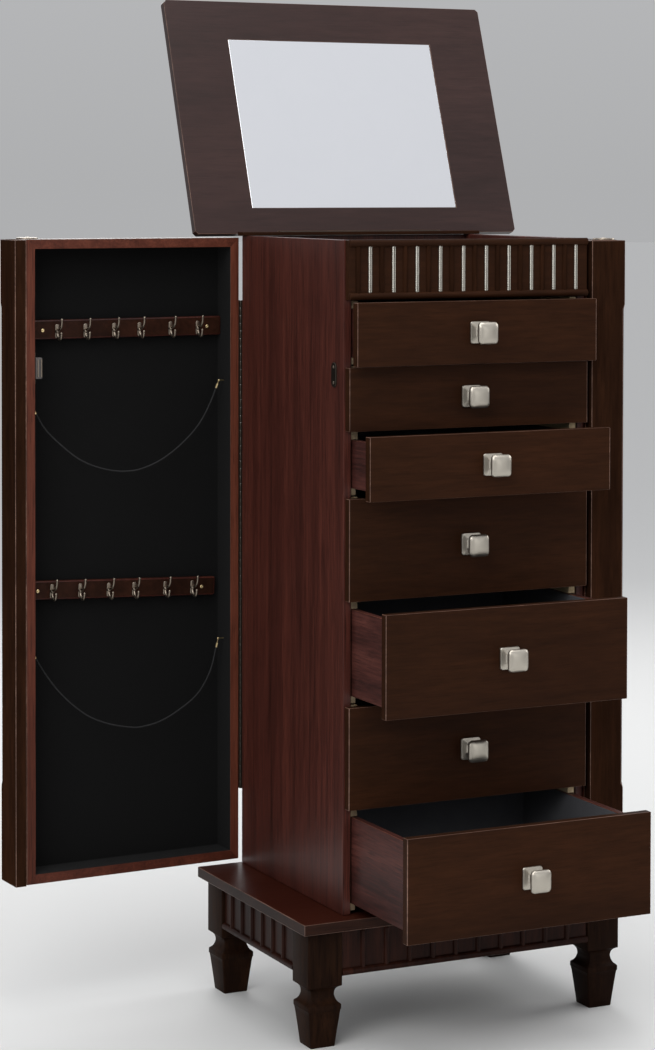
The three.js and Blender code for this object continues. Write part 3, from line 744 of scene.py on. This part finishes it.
def door_inside(side):
    body = f"{side}_door"

    def P(u, v, z):
        return door_point(side, u, v, z)

    # felt over the recess's floor and up its four walls, as one open tray
    def felt_ring(inset, v, r):
        (u0, u1), (z0, z1) = RECESS_U, RECESS_Z
        return [P((u0 + u1) / 2 + x, v, (z0 + z1) / 2 + y)
                for x, y in rounded_rect((u1 - u0) / 2 - inset, (z1 - z0) / 2 - inset, r, 3)]

    bm = bmesh.new()
    loft(bm, [felt_ring(*q) for q in ((0.02, 37.98, 0.2), (0.02, 1.2, 0.2), (0.08, 0.8, 0.3), (0.22, 0.8, 0.4),
                                      (0.28, 1.2, 0.5), (0.28, 36.2, 0.8), (0.6, 37.0, 1.0), (1.4, 37.3, 1.4))])
    obj_from(f"{side}_door_felt", bm, DOOR_FELT, body, crease=50)
    # thin veneer facings round the mouth of the recess, mitred at the corners
    stiles = [((DOOR_U[i], DOOR_Z[0]), (DOOR_U[i], DOOR_Z[1]), (RECESS_U[i], RECESS_Z[1]), (RECESS_U[i], RECESS_Z[0]))
              for i in (0, 1)]
    rails = [((DOOR_U[0], DOOR_Z[i]), (DOOR_U[1], DOOR_Z[i]), (RECESS_U[1], RECESS_Z[i]), (RECESS_U[0], RECESS_Z[i]))
             for i in (0, 1)]
    for nm, mat, pieces in (("stiles", FACING_Z, stiles), ("rails", FACING_Y, rails)):
        bm = bmesh.new()
        for corners in pieces:
            cu, cz = sum(c[0] for c in corners) / 4, sum(c[1] for c in corners) / 4
            loft(bm, [[P(u + math.copysign(inset, cu - u), v, z + math.copysign(inset, cz - z)) for u, z in corners]
                      for v, inset in ((0.0, 0.0), (-0.18, 0.0), (-0.3, 0.15))])
        obj_from(f"{side}_door_facing_{nm}", bm, mat, body, crease=FLAT)
    for which, u0, u1, z0, z1, shift, hook_z, tilt, screws in (
            ("upper", 12.5, 284, 694, 718.7, 0, 704, 0.0, (265.6, 32.6)),
            ("lower", 21, 287, 356.8, 380.8, 7.7, 367.5, math.radians(2.4), (272.9, 40.1))):
        cu, cz = (u0 + u1) / 2, (z0 + z1) / 2

        def T(u, v, z):
            # a rail is turned by its tilt about its own middle
            du, dz = u - cu, z - cz
            return P(cu + du * math.cos(tilt) - dz * math.sin(tilt), v, cz + du * math.sin(tilt) + dz * math.cos(tilt))

        bm = bmesh.new()
        box_mm(bm, u0, u1, 28, 36.8, z0, z1, T)
        o = obj_from(f"{side}_rail_board_{which}", bm, RAIL_WOOD, body, crease=FLAT, bevel=0.0018)
        # the bevel faces take the paler rail wood, a painted highlight along the edges
        o.data.materials.append(RAIL_EDGE_HIGHLIGHT)
        o.modifiers["edge"].material = 1
        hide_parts(f"{side}_hook_rail_{which}")
        bm = bmesh.new()
        for u in HOOKS_U:
            u += shift
            # its plate, the long upper arm, the short lower arm, and the boss between them
            loft(bm, [[T(u + x * qu, v, hook_z + y * qz) for x, y in rounded_rect(3.0, 9.0, 2.4, 4)]
                      for v, qu, qz in ((27.9, 1, 1), (27.0, 1, 1), (26.7, 0.86, 0.95))])
            up_pts = catmull([T(u, 27.3, hook_z + 0.5), T(u, 22.5, hook_z + 1.8), T(u, 17.0, hook_z + 3.6),
                              T(u, 13.4, hook_z + 8.2), T(u, 12.4, hook_z + 15.2)], 20)
            sweep(bm, up_pts, 1.6 * MM, 12, lambda t: 1.2 - 0.35 * t)
            add_ball(bm, up_pts[-1], 1.9, 2)
            lo_pts = catmull([T(u, 27.3, hook_z - 2.5), T(u, 24.0, hook_z - 8.2), T(u, 19.0, hook_z - 10.6),
                              T(u, 15.2, hook_z - 8.0), T(u, 14.2, hook_z - 2.4)], 20)
            sweep(bm, lo_pts, 1.6 * MM, 12, lambda t: 1.2 - 0.3 * t)
            add_ball(bm, lo_pts[-1], 1.8, 2)
            add_ball(bm, T(u, 26.4, hook_z), 3.1, 3)
        obj_from(f"{side}_hooks_{which}", bm, OLD_NICKEL, body)
        bm = bmesh.new()
        out = (T(100, 0, z0) - T(100, 10, z0)).normalized()
        for u in screws:
            screw_head(bm, T(u, 28, (z0 + z1) / 2 - 1), out, 2.5, 1.2)
        obj_from(f"{side}_rail_screws_{which}", bm, BRASS, body)
    # magnetic catch: a bent steel bracket, the magnet's housing and its two pole plates
    bm = bmesh.new()
    box_mm(bm, 286.5, 287.7, 2, 15, 639.3, 679.3, P)
    o = obj_from(f"{side}_catch_bracket", bm, OLD_NICKEL, body, crease=FLAT, bevel=0.0005)
    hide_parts(f"{side}_catch")
    bm = bmesh.new()
    box_mm(bm, 277.5, 286.4, 0.4, 13, 645.7, 672.7, P)
    o = obj_from(f"{side}_catch_housing", bm, GREY_PLASTIC, body, crease=FLAT, bevel=0.0012)
    o.modifiers["edge"].segments = 3
    bm = bmesh.new()
    for u in (279.3, 283.9):
        box_mm(bm, u - 0.7, u + 0.7, -0.9, 3, 648, 670.4, P)
    obj_from(f"{side}_catch_poles", bm, OLD_NICKEL, body, crease=FLAT, bevel=0.0002)
    bm = bmesh.new()
    inward = (P(280, 5, 640) - P(290, 5, 640)).normalized()
    for z in (642.4, 676.2):
        screw_head(bm, P(286.5, 8.5, z), inward, 2.2, 1.0)
    obj_from(f"{side}_catch_screws", bm, BRASS, body)
    # the rounded metal disc and its screw on the door's top
    bm = bmesh.new()
    disc_u, disc_v = 284, 35
    loft(bm, [[P(disc_u + r * math.cos(a), disc_v + r * math.sin(a), z) for a in turn(36)]
              for r, z in ((14, 822.15), (14, 823.2), (13.6, 823.7), (12.6, 823.9), (6.0, 823.95), (3.8, 823.5),
                           (1.0, 823.4))])
    obj_from(f"{side}_door_top_disc", bm, OLD_NICKEL, body, crease=40)
    bm = bmesh.new()
    screw_head(bm, P(disc_u, disc_v, 823.5), (0, 0, 1), 3.4, 1.3)
    obj_from(f"{side}_door_top_screw", bm, NICKEL, body)


door_inside("left")
door_inside("right")


def strike_plate(side):
    """A thin steel plate with rounded ends and two screws on the carcass side."""
    lo, hi = (Vector(p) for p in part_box(f"strike_plate_{side}"))
    mid = (lo + hi) / 2
    s = -1 if side == "left" else 1
    base = hi.x if s < 0 else lo.x
    w, h = (hi.y - lo.y) * 0.4, (hi.z - lo.z) / 2
    thick = hi.x - lo.x
    bm = bmesh.new()
    rings = []
    for f, q in ((0.0, 1.0), (0.6, 1.0), (1.0, 0.9)):
        ring = []
        for end in (1, -1):
            for k in range(9):
                a = math.pi * k / 8 + (0 if end > 0 else math.pi)
                ring.append(Vector((base + s * thick * f, mid.y + w * q * math.cos(a),
                                    mid.z + end * (h - w) + w * q * math.sin(a))))
        rings.append(ring)
    loft(bm, rings)
    o = obj_from(f"strike_plate_{side}_rounded", bm, HINGE, "carcass", crease=FLAT)
    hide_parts(f"strike_plate_{side}")
    bm = bmesh.new()
    for dz in (-0.62, 0.62):
        screw_head(bm, (base + s * thick, mid.y, mid.z + dz * h), (s, 0, 0), 2.0, 0.5)
    obj_from(f"strike_plate_{side}_screws", bm, OLD_NICKEL, "carcass")


strike_plate("left")
strike_plate("right")

# ---------------------------------------------------------------- floor and light
def plane(name, pts, mat):
    me = bpy.data.meshes.new(name)
    me.from_pydata(pts, [], [list(range(len(pts)))])
    me.materials.append(mat)
    o = bpy.data.objects.new(name, me)
    bpy.context.scene.collection.objects.link(o)


FLOOR_HALF = 60
fl = Net("studio_floor")
fl.set("Base Color", (0.62, 0.62, 0.61, 1))
fl.set("Roughness", 0.75)
plane("floor", [(x * FLOOR_HALF, y * FLOOR_HALF, 0) for x, y in ((-1, -1), (1, -1), (1, 1), (-1, 1))], fl.mat)


def area(name, loc, target, size, power):
    d = bpy.data.lights.new(name, "AREA")
    d.energy = power
    d.size = size
    o = bpy.data.objects.new(name, d)
    bpy.context.scene.collection.objects.link(o)
    o.location = loc
    o.rotation_euler = (Vector(target) - Vector(loc)).to_track_quat("-Z", "Y").to_euler()


area("key", (-2.6, -2.2, 2.8), (0, 0, 0.6), 2.4, 66)
area("fill", (0.9, -4.2, 1.4), (0, 0, 0.6), 2.4, 14)
area("side", (3.2, 0.2, 1.9), (0, 0, 0.6), 1.6, 35)
area("top", (0.0, -0.6, 3.4), (0, 0, 0.8), 2.2, 40)
area("back", (0.8, 2.8, 2.0), (0, 0, 0.8), 1.6, 30)
w = bpy.data.worlds.new("studio")
w.use_nodes = True
wt = w.node_tree
wc = wt.nodes.new("ShaderNodeTexCoord")
ws = wt.nodes.new("ShaderNodeSeparateXYZ")
wr = wt.nodes.new("ShaderNodeValToRGB")
wt.links.new(wc.outputs["Generated"], ws.inputs[0])
wt.links.new(ws.outputs["Z"], wr.inputs["Fac"])
wr.color_ramp.elements[0].position = 0.0
wr.color_ramp.elements[0].color = (0.50, 0.505, 0.515, 1)
wr.color_ramp.elements[1].position = 0.62
wr.color_ramp.elements[1].color = (0.88, 0.89, 0.92, 1)
wt.links.new(wr.outputs["Color"], wt.nodes["Background"].inputs[0])
wt.nodes["Background"].inputs[1].default_value = 0.85
bpy.context.scene.world = w
bpy.context.scene.view_settings.view_transform = "Standard"
